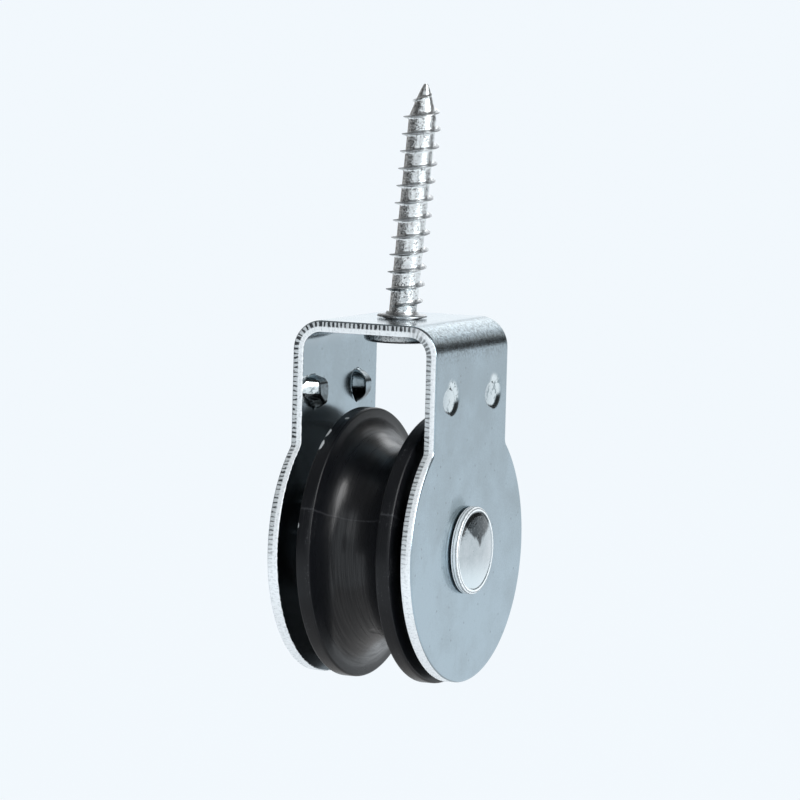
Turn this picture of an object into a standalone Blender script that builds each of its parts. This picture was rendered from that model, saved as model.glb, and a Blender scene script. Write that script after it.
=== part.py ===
"""Screw pulley: a folded steel bracket on a wood screw, with a plastic rope sheave on a riveted axle.

Units are metres. The origin is the middle of the web's top face, where the screw comes out.
+Z points up the screw, +X along the axle towards the cheek with the large rivet head.
"""
import math

import bmesh
import bpy
from mathutils import Matrix, Vector

# Bracket: one strip of sheet, folded twice, with round lower cheeks
SHEET = 0.0021
BRACKET_WIDTH = 0.0291
STRAP_DEPTH = 0.0315
BEND_INSIDE = 0.0035
AXLE_DROP = 0.0420
CHEEK_DIAMETER = 0.0490
NECK_FILLET = 0.0015

# Lugs: two pressed inwards on each cheek, round above and pointed below
LUG_WIDTH = 0.0062
LUG_ABOVE = 0.0032
LUG_BELOW = 0.0034
LUG_PUSH = 0.0021
LUG_WALL = 0.0004
LUG_FLOOR = 0.0012
LUG_SPACING = 0.0184
LUG_DROP = 0.0135
LUG_CREST_SINK = 0.0006
LUG_CREST_SHARE = 0.86
LUG_POINTEDNESS = 1.5

# Sheave: moulded in one piece, free to run on the sleeve
SHEAVE_DIAMETER = 0.0500
SHEAVE_WIDTH = 0.0188
RIM_FLAT = 0.0028
RIM_ROUNDING = 0.0004
GROOVE_DEPTH = 0.0071
GROOVE_FLANK = 10
HUB_DIAMETER = 0.0180
SIDE_RECESS = 0.0015
RIM_WALL = 0.0034
SIDE_PLAY = 0.0024
SHEAVE_SHIFT = 0.0009

# Axle: a rivet through both cheeks, inside a spacer sleeve
SHANK_DIAMETER = 0.0080
RIVET_HEAD_DIAMETER = 0.0162
CLOSED_HEAD_DIAMETER = 0.0130
RIVET_HEAD_EDGE = 0.0014
RIVET_HEAD_DOME = 0.0009
RIVET_HEAD_ROUNDING = 0.0005
SLEEVE_WALL = 0.0015

# Wood screw: head under the web, collar above it, right-handed thread with a sharp point
THREAD_DIAMETER = 0.0071
CORE_DIAMETER = 0.0051
THREAD_PITCH = 0.0032
FLIGHT_ROOT = 0.0009
FLIGHT_CREST = 0.00016
SCREW_LENGTH = 0.0435
POINT_LENGTH = 0.0063
POINT_RADIUS = 0.00035
POINT_FULLNESS = 0.85
THREAD_START = 0.0021
THREAD_TURN = 0.58
NECK_DIAMETER = 0.0062
SCREW_HEAD_DIAMETER = 0.0140
SCREW_HEAD_THICKNESS = 0.0019
SCREW_HEAD_ROUNDING = 0.0008
COLLAR_DIAMETER = 0.0092
COLLAR_THICKNESS = 0.0005
SCREW_LEAN = math.radians(4.8)

# Clearances between pieces
SEAT_GAP = 0.0003
RUNNING_GAP = 0.0003

# Smoothness of round shapes
CHEEK_SIDES = 96
SHEAVE_SIDES = 64
AXLE_SIDES = 48
THREAD_SIDES = 24
SCREW_SIDES = 40
ARC_STEPS = 6
GROOVE_STEPS = 5
DOME_STEPS = 4
LUG_SIDES = 20
LUG_RINGS = 3
SMOOTH_ANGLE = math.radians(22)
MERGE = 1e-6
CUT_MARGIN = 0.0005
SPARE_TURNS = 3

# Worked out from the sizes above
INSIDE_WIDTH = BRACKET_WIDTH - 2 * SHEET
BEND_OUTSIDE = BEND_INSIDE + SHEET
CHEEK_RADIUS = CHEEK_DIAMETER / 2
SLEEVE_BORE = SHANK_DIAMETER + 2 * SEAT_GAP
SLEEVE_DIAMETER = SLEEVE_BORE + 2 * SLEEVE_WALL
AXIS = Vector((0, 0, -AXLE_DROP))
ALONG_X = Matrix.Rotation(math.radians(90), 4, "Y")


def material(name, colour, metallic, roughness):
    """A Principled material."""
    made = bpy.data.materials.new(name)
    made.use_nodes = True
    shader = made.node_tree.nodes["Principled BSDF"]
    shader.inputs["Base Color"].default_value = (*colour, 1)
    shader.inputs["Metallic"].default_value = metallic
    shader.inputs["Roughness"].default_value = roughness
    made.diffuse_color = (*colour, 1)
    return made


def add_object(name, bm, finish=None, matrix=None):
    """An object made from a bmesh, whose faces are turned outwards and shaded smooth."""
    if matrix is not None:
        bmesh.ops.transform(bm, matrix=matrix, verts=bm.verts)
    bmesh.ops.recalc_face_normals(bm, faces=bm.faces)
    mesh = bpy.data.meshes.new(name)
    bm.to_mesh(mesh)
    bm.free()
    made = bpy.data.objects.new(name, mesh)
    bpy.context.scene.collection.objects.link(made)
    if finish is not None:
        mesh.materials.append(finish)
        mesh.shade_smooth()
        mesh.set_sharp_from_angle(angle=SMOOTH_ANGLE)
    return made


def add_tool(name, bm, matrix=None):
    """A cutter or an added form: it only serves another object's Boolean."""
    made = add_object(name, bm, matrix=matrix)
    made.hide_render = True
    made.display_type = "WIRE"
    return made


def combine(target, operation, tool):
    """A Boolean that stays on its object."""
    modifier = target.modifiers.new(operation.lower() + "_" + tool.name, "BOOLEAN")
    modifier.operation = operation
    modifier.solver = "EXACT"
    modifier.object = tool


def arc(centre, radius, start, end, steps):
    """Points on an arc, from start to end, both in degrees."""
    points = []
    for i in range(steps + 1):
        angle = math.radians(start + (end - start) * i / steps)
        points.append((centre[0] + radius * math.cos(angle), centre[1] + radius * math.sin(angle)))
    return points


def extruded(outline, depth):
    """A prism: the outline lies in the XY plane, and the prism reaches depth / 2 to each side of it."""
    bm = bmesh.new()
    base = bm.faces.new([bm.verts.new((x, y, -depth / 2)) for x, y in outline])
    grown = bmesh.ops.extrude_face_region(bm, geom=[base])
    top = [item for item in grown["geom"] if isinstance(item, bmesh.types.BMVert)]
    bmesh.ops.translate(bm, vec=(0, 0, depth), verts=top)
    return bm


def turned(profile, sides):
    """A solid of revolution about Z from (radius, height) points that start and end on the axis,
    or from a closed ring of points when the first and the last are the same."""
    bm = bmesh.new()
    verts = [bm.verts.new((radius, 0, height)) for radius, height in profile]
    edges = [bm.edges.new(pair) for pair in zip(verts, verts[1:])]
    bmesh.ops.spin(bm, geom=verts + edges, cent=(0, 0, 0), axis=(0, 0, 1), dvec=(0, 0, 0),
                   angle=2 * math.pi, steps=sides, use_merge=True, use_duplicate=False)
    bmesh.ops.remove_doubles(bm, verts=bm.verts, dist=MERGE)
    return bm


def bracket_section():
    """The folded sheet seen along Y: a U turned upside down, from one cheek's foot to the other's."""
    half = BRACKET_WIDTH / 2
    foot = -AXLE_DROP - CHEEK_DIAMETER
    bend = half - BEND_OUTSIDE
    outer = arc((bend, -BEND_OUTSIDE), BEND_OUTSIDE, 0, 90, ARC_STEPS)
    inner = arc((bend, -BEND_OUTSIDE), BEND_INSIDE, 90, 0, ARC_STEPS)
    right_outside = [(half, foot)] + outer
    right_inside = inner + [(half - SHEET, foot)]
    left_outside = [(-x, z) for x, z in reversed(right_outside)]
    left_inside = [(-x, z) for x, z in reversed(right_inside)]
    return right_outside + left_outside + left_inside + right_inside


def cheek_outline():
    """The flat blank's edge seen along X: a strap that widens into a disc, with a small neck fillet."""
    half = STRAP_DEPTH / 2
    above = SHEET
    across = half + NECK_FILLET
    reach = CHEEK_RADIUS + NECK_FILLET
    rise = math.sqrt(reach ** 2 - across ** 2)
    neck_angle = math.degrees(math.atan2(rise, across))
    neck = arc((across, rise - AXLE_DROP), NECK_FILLET, 180, 180 + neck_angle, ARC_STEPS)
    disc = arc((0, -AXLE_DROP), CHEEK_RADIUS, neck_angle, -90, CHEEK_SIDES // 2)
    right = [(half, above)] + neck + disc[1:]
    left = [(-y, z) for y, z in reversed(right[:-1])]
    return right + left


def lug_outline(width, above, below):
    """A lug's edge in the cheek's plane, round above its middle and pointed below it."""
    points = []
    for i in range(LUG_SIDES):
        angle = 2 * math.pi * i / LUG_SIDES
        across, up = math.cos(angle), math.sin(angle)
        height = above if up >= 0 else below
        power = 1.0 if up >= 0 else LUG_POINTEDNESS
        points.append((width / 2 * math.copysign(abs(across) ** power, across),
                       height * math.copysign(abs(up) ** power, up)))
    return points


def add_lug_form(bm, side, middle, grow, start, push):
    """One pressed form, lofted in rings from its edge on the plane at start to its crest,
    push further inwards. It starts a little outside that plane, so that it cuts or joins cleanly."""
    outline = lug_outline(LUG_WIDTH + 2 * grow, LUG_ABOVE + grow, LUG_BELOW + grow)
    levels = [(0, start - CUT_MARGIN)]
    for i in range(LUG_RINGS + 1):
        shrink = LUG_CREST_SHARE * i / LUG_RINGS
        levels.append((shrink, start + push * math.sin(shrink * math.pi / 2)))
    rings = []
    for shrink, depth in levels:
        ring = []
        for across, up in outline:
            y = across * (1 - shrink) + middle
            z = up * (1 - shrink) - LUG_CREST_SINK * shrink - LUG_DROP
            ring.append(bm.verts.new((side * (BRACKET_WIDTH / 2 - depth), y, z)))
        rings.append(ring)
    for low, high in zip(rings, rings[1:]):
        for i in range(LUG_SIDES):
            j = (i + 1) % LUG_SIDES
            bm.faces.new((low[i], low[j], high[j], high[i]))
    bm.faces.new(rings[0])
    bm.faces.new(rings[-1])


def lug_forms(grow, start, push):
    """The same pressed form at the four places where a lug is."""
    bm = bmesh.new()
    for side in (-1, 1):
        for middle in (-LUG_SPACING / 2, LUG_SPACING / 2):
            add_lug_form(bm, side, middle, grow, start, push)
    return bm


def make_bracket():
    """The bracket: the folded section cut to the blank's outline, with its holes and lugs."""
    zinc = material("zinc_plated_sheet", (0.56, 0.62, 0.66), 1.0, 0.32)
    along_y = Matrix.Rotation(math.radians(90), 4, "X")
    section = extruded(bracket_section(), 2 * CHEEK_DIAMETER)
    bracket = add_object("bracket", section, zinc, matrix=along_y)
    turn_to_yz = Matrix(((0, 0, 1, 0), (1, 0, 0, 0), (0, 1, 0, 0), (0, 0, 0, 1)))
    blank = add_tool("blank_outline", extruded(cheek_outline(), 2 * BRACKET_WIDTH), turn_to_yz)
    axle_hole = SHANK_DIAMETER / 2 + SEAT_GAP
    reach = BRACKET_WIDTH
    axle_cut = turned([(0, reach), (axle_hole, reach), (axle_hole, -reach), (0, -reach)], AXLE_SIDES)
    axle_tool = add_tool("axle_hole_cutter", axle_cut, Matrix.Translation(AXIS) @ ALONG_X)
    screw_hole = NECK_DIAMETER / 2 + SEAT_GAP
    screw_cut = turned([(0, SHEET), (screw_hole, SHEET), (screw_hole, -2 * SHEET), (0, -2 * SHEET)],
                       SCREW_SIDES)
    screw_tool = add_tool("screw_hole_cutter", screw_cut)
    bulges = add_tool("lug_bulges", lug_forms(LUG_WALL, SHEET, LUG_PUSH))
    dents = add_tool("lug_dents", lug_forms(0, 0, SHEET + LUG_PUSH - LUG_FLOOR))
    combine(bracket, "INTERSECT", blank)
    combine(bracket, "DIFFERENCE", axle_tool)
    combine(bracket, "DIFFERENCE", screw_tool)
    combine(bracket, "UNION", bulges)
    combine(bracket, "DIFFERENCE", dents)


def sheave_half_profile():
    """The sheave's section from the bottom of its groove to the end of its bore, for the +X side."""
    rim = SHEAVE_DIAMETER / 2
    half = SHEAVE_WIDTH / 2
    groove = half - RIM_FLAT
    hub_half = INSIDE_WIDTH / 2 - SIDE_PLAY / 2
    bore = SLEEVE_DIAMETER / 2 + RUNNING_GAP
    small = RIM_ROUNDING
    outline = arc((0, rim - GROOVE_DEPTH + groove), groove, -90, -GROOVE_FLANK, GROOVE_STEPS)
    outline += arc((groove + small, rim - small), small, 180, 90, 2)
    outline += arc((half - small, rim - small), small, 90, 0, 2)
    profile = [(radius, x) for x, radius in outline]
    floor = half - SIDE_RECESS
    profile += [(rim - RIM_WALL, half), (rim - RIM_WALL - SIDE_RECESS / 2, floor)]
    profile += [(HUB_DIAMETER / 2 + SIDE_RECESS / 2, floor), (HUB_DIAMETER / 2, hub_half - small)]
    profile += [(HUB_DIAMETER / 2 - small, hub_half), (bore, hub_half)]
    return profile


def make_sheave():
    """The sheave, turned about the axle, on an empty that marks the axis it spins on."""
    black = material("black_plastic", (0.017, 0.018, 0.021), 0.0, 0.42)
    right = sheave_half_profile()
    left = [(radius, -x) for radius, x in right[:0:-1]]
    ring = left + right + [left[0]]
    sheave = add_object("sheave", turned(ring, SHEAVE_SIDES), black, matrix=ALONG_X)
    spin_axis = bpy.data.objects.new("sheave_axis", None)
    spin_axis.location = AXIS + Vector((SHEAVE_SHIFT, 0, 0))
    bpy.context.scene.collection.objects.link(spin_axis)
    sheave.parent = spin_axis


def make_spacer_sleeve():
    """The tube that keeps the cheeks apart and carries the sheave."""
    steel = material("plain_steel", (0.50, 0.51, 0.52), 1.0, 0.38)
    inner, outer = SLEEVE_BORE / 2, SLEEVE_DIAMETER / 2
    half = INSIDE_WIDTH / 2 - SEAT_GAP
    ring = [(inner, -half), (outer, -half), (outer, half), (inner, half), (inner, -half)]
    sleeve = add_object("spacer_sleeve", turned(ring, AXLE_SIDES), steel, matrix=ALONG_X)
    sleeve.location = AXIS


def rivet_head_profile(diameter):
    """A low-domed head on its cheek, from the middle of its dome to the edge of its seat."""
    seat = BRACKET_WIDTH / 2 + SEAT_GAP
    face = seat + RIVET_HEAD_EDGE
    flat = diameter / 2 - RIVET_HEAD_ROUNDING
    dome = [(flat * i / DOME_STEPS, face + RIVET_HEAD_DOME * (1 - (i / DOME_STEPS) ** 2))
            for i in range(DOME_STEPS)]
    edge = arc((flat, face - RIVET_HEAD_ROUNDING), RIVET_HEAD_ROUNDING, 90, -45, ARC_STEPS)
    return dome + edge + [(flat, seat)]


def make_axle_rivet():
    """The rivet: a wide head on the +X cheek, the shank, and a smaller closed head on the other."""
    bright = material("zinc_plated_rivet", (0.62, 0.66, 0.69), 1.0, 0.25)
    shank = SHANK_DIAMETER / 2
    near = rivet_head_profile(RIVET_HEAD_DIAMETER)
    far = [(radius, -x) for radius, x in reversed(rivet_head_profile(CLOSED_HEAD_DIAMETER))]
    profile = near + [(shank, near[-1][1]), (shank, far[0][1])] + far
    rivet = add_object("axle_rivet", turned(profile, AXLE_SIDES), bright, matrix=ALONG_X)
    rivet.location = AXIS


def smooth_step(value):
    """0 below 0, 1 above 1, and an even rise between them."""
    value = min(max(value, 0.0), 1.0)
    return value * value * (3 - 2 * value)


def core_radius(height):
    """The screw's core: parallel, then a cone to the point."""
    below_tip = SCREW_LENGTH - height
    share = min(below_tip / POINT_LENGTH, 1.0)
    return POINT_RADIUS + (CORE_DIAMETER / 2 - POINT_RADIUS) * share ** POINT_FULLNESS


def crest_radius(height):
    """The flight's outer edge: it grows out of the core at the foot and shrinks towards the point."""
    below_tip = SCREW_LENGTH - height
    full = (THREAD_DIAMETER - CORE_DIAMETER) / 2
    foot = smooth_step((height - THREAD_START) / (THREAD_PITCH / 2))
    point = smooth_step(below_tip / POINT_LENGTH)
    return core_radius(height) + full * foot * point


def threaded_shank(start):
    """The threaded core as one closed skin. Its rows of points climb with the helix, so that a row
    runs into the row one turn above it. The spare turns lie past both ends, where they shrink to one
    ring. The flight passes the +X side THREAD_TURN of a turn above the start."""
    flight = [(-FLIGHT_ROOT / 2, core_radius), (-FLIGHT_CREST / 2, crest_radius),
              (FLIGHT_CREST / 2, crest_radius), (FLIGHT_ROOT / 2, core_radius),
              (THREAD_PITCH / 2, core_radius)]
    turns = math.ceil((SCREW_LENGTH - start) / THREAD_PITCH) + SPARE_TURNS
    bm = bmesh.new()
    columns = []
    for side in range(THREAD_SIDES):
        angle = 2 * math.pi * side / THREAD_SIDES
        column = []
        for turn in range(turns):
            climbed = turn - SPARE_TURNS / 2 + THREAD_TURN + side / THREAD_SIDES
            middle = start + THREAD_PITCH * climbed
            for offset, radius_at in flight:
                height = min(max(middle + offset, start), SCREW_LENGTH)
                radius = radius_at(height)
                column.append(bm.verts.new((radius * math.cos(angle), radius * math.sin(angle), height)))
        columns.append(column)
    last = len(columns[0]) - 1
    for side in range(THREAD_SIDES):
        here = columns[side]
        there = columns[(side + 1) % THREAD_SIDES]
        climb = len(flight) if side == THREAD_SIDES - 1 else 0
        for row in range(last):
            low, high = min(row + climb, last), min(row + 1 + climb, last)
            corners = (here[row], there[low], there[high], here[row + 1])
            if len(set(corners)) == 4:
                bm.faces.new(corners)
    bmesh.ops.remove_doubles(bm, verts=bm.verts, dist=MERGE)
    loose = [vert for vert in bm.verts if not vert.link_faces]
    bmesh.ops.delete(bm, geom=loose, context="VERTS")
    open_edges = [edge for edge in bm.edges if edge.is_boundary]
    bmesh.ops.holes_fill(bm, edges=open_edges, sides=0)
    return bm


def make_wood_screw():
    """The screw: head, neck and collar turned square with the web, and the leaning threaded shank."""
    bright = material("zinc_plated_screw", (0.68, 0.71, 0.73), 1.0, 0.24)
    neck = NECK_DIAMETER / 2
    head = SCREW_HEAD_DIAMETER / 2
    collar = COLLAR_DIAMETER / 2
    seat = -SHEET - SEAT_GAP
    underside = seat - SCREW_HEAD_THICKNESS
    small = SCREW_HEAD_ROUNDING
    collar_low = SEAT_GAP
    collar_high = collar_low + COLLAR_THICKNESS
    shoulder = collar_high + COLLAR_THICKNESS
    profile = [(0, shoulder), (neck - COLLAR_THICKNESS / 2, shoulder), (neck, collar_high)]
    profile += [(collar, collar_high - COLLAR_THICKNESS / 2), (collar, collar_low)]
    profile += [(neck, collar_low), (neck, seat), (head, seat)]
    profile += arc((head - small, underside + small), small, 0, -90, ARC_STEPS)
    profile += [(0, underside)]
    screw = add_object("wood_screw", turned(profile, SCREW_SIDES), bright)
    lean = Matrix.Rotation(SCREW_LEAN, 4, "Y")
    shank = add_tool("threaded_shank", threaded_shank(collar_low - COLLAR_THICKNESS), lean)
    combine(screw, "UNION", shank)


for old in list(bpy.data.objects):
    bpy.data.objects.remove(old, do_unlink=True)

make_bracket()
make_sheave()
make_spacer_sleeve()
make_axle_rivet()
make_wood_screw()
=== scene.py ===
import math

import bmesh
import bpy
from mathutils import Matrix, Vector, geometry


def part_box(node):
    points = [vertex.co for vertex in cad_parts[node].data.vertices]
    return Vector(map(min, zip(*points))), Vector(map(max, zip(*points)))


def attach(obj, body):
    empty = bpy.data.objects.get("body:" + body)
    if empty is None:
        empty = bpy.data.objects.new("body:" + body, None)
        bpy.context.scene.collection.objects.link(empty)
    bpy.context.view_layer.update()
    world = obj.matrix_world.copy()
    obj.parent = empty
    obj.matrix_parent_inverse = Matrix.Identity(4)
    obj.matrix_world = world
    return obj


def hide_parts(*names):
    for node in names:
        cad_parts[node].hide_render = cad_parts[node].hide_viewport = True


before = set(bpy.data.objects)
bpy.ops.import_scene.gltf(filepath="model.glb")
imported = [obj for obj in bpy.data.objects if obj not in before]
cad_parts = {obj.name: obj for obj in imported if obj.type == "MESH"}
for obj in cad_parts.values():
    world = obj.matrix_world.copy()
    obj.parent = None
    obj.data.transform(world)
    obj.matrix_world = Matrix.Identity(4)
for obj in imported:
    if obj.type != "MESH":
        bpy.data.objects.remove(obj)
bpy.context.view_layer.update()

MM = 0.001

# Bracket, in millimetres. The blank is laid flat: S runs along the strip from the middle of the web, and
# Y across it
BRACKET_LOW, BRACKET_HIGH = (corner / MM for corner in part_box("bracket"))
BRACKET_WIDTH = BRACKET_HIGH.x - BRACKET_LOW.x
CHEEK_RADIUS = (BRACKET_HIGH.y - BRACKET_LOW.y) / 2
AXLE_DROP = -BRACKET_LOW.z - CHEEK_RADIUS
SHEET = 2.1
STRAP_DEPTH = 31.5
BEND_INSIDE = 3.5
NECK_FILLET = 1.5
BEND_OUTSIDE = BEND_INSIDE + SHEET
FLAT_WEB = BRACKET_WIDTH / 2 - BEND_OUTSIDE
BEND_RUN = (BEND_INSIDE + SHEET / 2) * math.pi / 2
DISC_MIDDLE = FLAT_WEB + BEND_RUN + AXLE_DROP - BEND_OUTSIDE
AXLE_HOLE = 4.3
SCREW_HOLE = 3.4
HOLES = [((0, 0), SCREW_HOLE), ((DISC_MIDDLE, 0), AXLE_HOLE), ((-DISC_MIDDLE, 0), AXLE_HOLE)]

# Sheared edges: a drawn-in roll on the outer face, a small burr on the inner one
ROLL_IN = 0.55
ROLL_DOWN = 0.36
BURR = 0.10
EDGE_STEP = 0.45
BORDER = 0.16
ROLL_STEPS = 6
WALL_STEPS = 6
NECK_EXTRA_STEPS = 4
FACE_STEP = 1.5
BEND_ROWS = 20
# How far the inner points of a face stay from its edge, in steps, on the flats and on the bends
FACE_MARGIN = 0.45
BEND_MARGIN = 0.3

# Lugs, pressed inwards. A point of a lug is a across it and b above its middle
LUG_ABOVE = 2.5
LUG_BELOW = 3.0
LUG_SPACING = 18.4
LUG_DROP = 13.5
LUG_WALL = 0.4
LUG_LEFT = 2.6
LUG_TUCK = 0.3
LUG_RIGHT = 1.8
LUG_RAMP = 1.5
LUG_CROWN = 2.6
LUG_PUSH = 2.3
LUG_GRID = 0.22
LUG_ROOM = 4.6
LUG_ROOM_BESIDE = 2
FAR_LUG_SHIFT = 1.6
# The front lug of the far cheek is longer: its ramp starts further left, above its foot
LEAD_LEFT = 2.2
LEAD_RAMP = 2.8
LEAD_FOOT = -1.7
LEAD_FADE = 1.2
LEAD_TILT = 0.16
LEAD_CROWN = 6
# The dent outside each lug: a bowl, and a dish round its right side, with their places and half sizes
BOWL_PLACE = (-0.35, -0.25)
BOWL_HALF = (2.95, 2.35)
BOWL_SOFT = 0.09
DISH_PLACE = (0.6, 0.3)
DISH_HALF = (3.6, 3.7)
DISH_SOFT = 0.5
DISH_LEFT = -1.8
DISH_RISE = 2.5
DISH_DEPTH = 0.50
DENT_SHALLOW = 0.14
DENT_DEEP = 0.34
DENT_LEFT = -3.2
DENT_WIDTH = 6

# Where the sheet's painted shade and its marks start to change and where they end, in millimetres
SHEET_SHADE_Z = (-2.0, -66.0)
NEAR_CHEEK_X = (8.0, 13.0)
NEAR_FACE_X = (14.0, 15.0)
INSIDE_SHADE_Z = (-46.0, -58.0)
TICKS_Z = (-47.0, -35.0)
WEB_Z = (-9.0, -4.0)
# The same for its inner half, as shares of its thickness, and the pitch of the cutting tool's marks
INNER_HALF = (0.46, 0.60)
TICK_PITCH = 0.86
# Painted shade beside the rivet, on the near cheek: how far across, how far above the axle, and how fast it
# fades both ways
RIVET_SHADE_Y = -4.8
RIVET_SHADE_UP = 7.4
RIVET_SHADE_FADE_Y = 0.24
RIVET_SHADE_FADE_UP = 0.28

# Sheave
SHEAVE_LOW, SHEAVE_HIGH = (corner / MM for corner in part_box("sheave"))
SHEAVE_RADIUS = (SHEAVE_HIGH.y - SHEAVE_LOW.y) / 2
SHEAVE_MIDDLE = (SHEAVE_HIGH.x + SHEAVE_LOW.x) / 2
HUB_HALF = (SHEAVE_HIGH.x - SHEAVE_LOW.x) / 2
RIM_HALF = 9.4
RIM_FLAT = 2.8
RIM_SOFT = 0.45
RIM_FADE = 0.25
GROOVE_DEPTH = 7.1
GROOVE_FLANK = 10
RIM_WALL = 3.4
SIDE_RECESS = 1.5
HUB_RADIUS = 9.0
SHEAVE_BORE = 6.1
SHEAVE_SIDES = 288
GROOVE_STEPS = 26
SOFT_STEPS = 5
WITNESS_ANGLE = -1.236
# Marks on the sheave as (x, angle round it, half width, half angle)
WORN_MARKS = [(-8.2, -0.55, 0.45, 0.045), (-8.2, -0.69, 0.5, 0.05),
              (-6.8, -0.335, 0.4, 0.018), (-8.4, -1.364, 0.3, 0.02)]
SINK_MARK = (1.8, -2.588, 2.2, 0.07)

# Rivet
RIVET_LOW, RIVET_HIGH = (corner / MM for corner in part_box("axle_rivet"))
RIVET_RADIUS = (RIVET_HIGH.y - RIVET_LOW.y) / 2
CLOSED_RADIUS = 6.5
SHANK_RADIUS = 4.0
SEAT_GAP = 0.3
HEAD_EDGE = 1.4
HEAD_SOFT = 0.5
HEAD_RIM = 0.7
DOME_LIFT = 0.02
DOME_STEPS = 20
RIVET_SIDES = 160
# Where the near head's painted dark reflection and painted highlight start to change and where they end, as
# heights above the axle
REFLECTION_FOOT = (2.8, 3.8)
REFLECTION_TOP = (7.5, 6.8)
FOOT_HIGHLIGHT = (-0.5, -6.5)
# The same for its ringed side, as ways in from the head's edge
HEAD_SIDE = (0.9, 0.6)

# Wood screw
SCREW_LENGTH = 43.5
THREAD_RADIUS = 3.55
CORE_RADIUS = 2.55
THREAD_PITCH = 3.2
THREAD_START = 2.1
THREAD_TURN = 0.58
POINT_LENGTH = 6.3
POINT_RADIUS = 0.35
POINT_CURVE = 0.85
SHANK_FOOT = -0.2
NECK_RADIUS = 3.1
SCREW_HEAD_RADIUS = 7.0
SCREW_HEAD_THICKNESS = 1.9
SCREW_HEAD_SOFT = 0.8
COLLAR_RADIUS = 4.6
COLLAR_THICKNESS = 0.5
SCREW_LEAN = 4.8
SCREW_SIDES = 96
SPARE_TURNS = 3
# The radii between which the flights get painted shade
FLIGHT_SHADE_RADII = (2.75, 3.15)

# Colours of the zinc sheet, the screw, the rivet, the sleeve and the sheave, in that order
SHEET_DARK = (0.347, 0.414, 0.450)
SHEET_PALE = (0.438, 0.530, 0.588)
BEND_GRAIN = (0.10, 0.12, 0.125)
HIGHLIGHT_MOTTLE_DARK = (0.30, 0.35, 0.36)
HIGHLIGHT_MOTTLE_BRIGHT = (0.84, 0.90, 0.91)
LUG_SHADE = (0.07, 0.085, 0.09)
PIT = (0.16, 0.19, 0.20)
RIVET_SHADE = (0.10, 0.15, 0.16)
INSIDE_SHADE = (0.05, 0.06, 0.065)
CUT_GREY = (0.58, 0.61, 0.62)
CUT_BRIGHT = (0.88, 0.90, 0.91)
CUT_SHADE = (0.28, 0.31, 0.32)
TICK_DARK_REFLECTION = (0.012, 0.015, 0.018)
SCREW_GREY = (0.76, 0.79, 0.80)
SCREW_BRIGHT = (0.93, 0.95, 0.95)
SCREW_STAIN_AND_SHADE = (0.05, 0.055, 0.06)
FLIGHT_SHADE = (0.16, 0.17, 0.18)
RIVET_GREY = (0.48, 0.53, 0.55)
RIVET_PALE = (0.63, 0.67, 0.69)
RIVET_FOOT_HIGHLIGHT = (0.84, 0.93, 0.96)
DARK_REFLECTION = (0.04, 0.05, 0.055)
RING_BRIGHT = (0.86, 0.89, 0.90)
RING_DARK = (0.16, 0.18, 0.19)
STEEL_DARK = (0.36, 0.37, 0.38)
STEEL_PALE = (0.55, 0.56, 0.57)
BLACK = (0.003, 0.0035, 0.0045)
BLACK_CLOUD = (0.007, 0.0075, 0.009)
SCUFF = (0.12, 0.12, 0.125)
SEAM = (0.06, 0.06, 0.065)
WORN = (0.40, 0.41, 0.41)
# Colour of the floor and the world
PALE = (0.888, 0.939, 0.982)

# View of the photograph
PICTURE_SIDE = 800
SENSOR = 36
VIEW_DISTANCE = 1200
VIEW_AZIMUTH = 25.2
VIEW_ELEVATION = 5.3
VIEW_ROLL = 1.5
PIXELS_PER_MM = 5.416
VIEW_TARGET = Vector((0, 0, -15.2))

AXIS = Vector((0, 0, -AXLE_DROP))
ALONG_X = Matrix.Rotation(math.radians(90), 4, "Y")


# Shader helpers

class Value:
    """One socket. Sums, differences and products of values add Math nodes."""

    def __init__(self, finish, socket):
        self.finish = finish
        self.socket = socket

    def __add__(self, other):
        return self.finish.maths("ADD", self, other)

    def __mul__(self, other):
        return self.finish.maths("MULTIPLY", self, other)

    def __sub__(self, other):
        return self.finish.maths("SUBTRACT", self, other)

    def __rsub__(self, other):
        return self.finish.maths("SUBTRACT", other, self)

    __radd__ = __add__
    __rmul__ = __mul__


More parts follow.
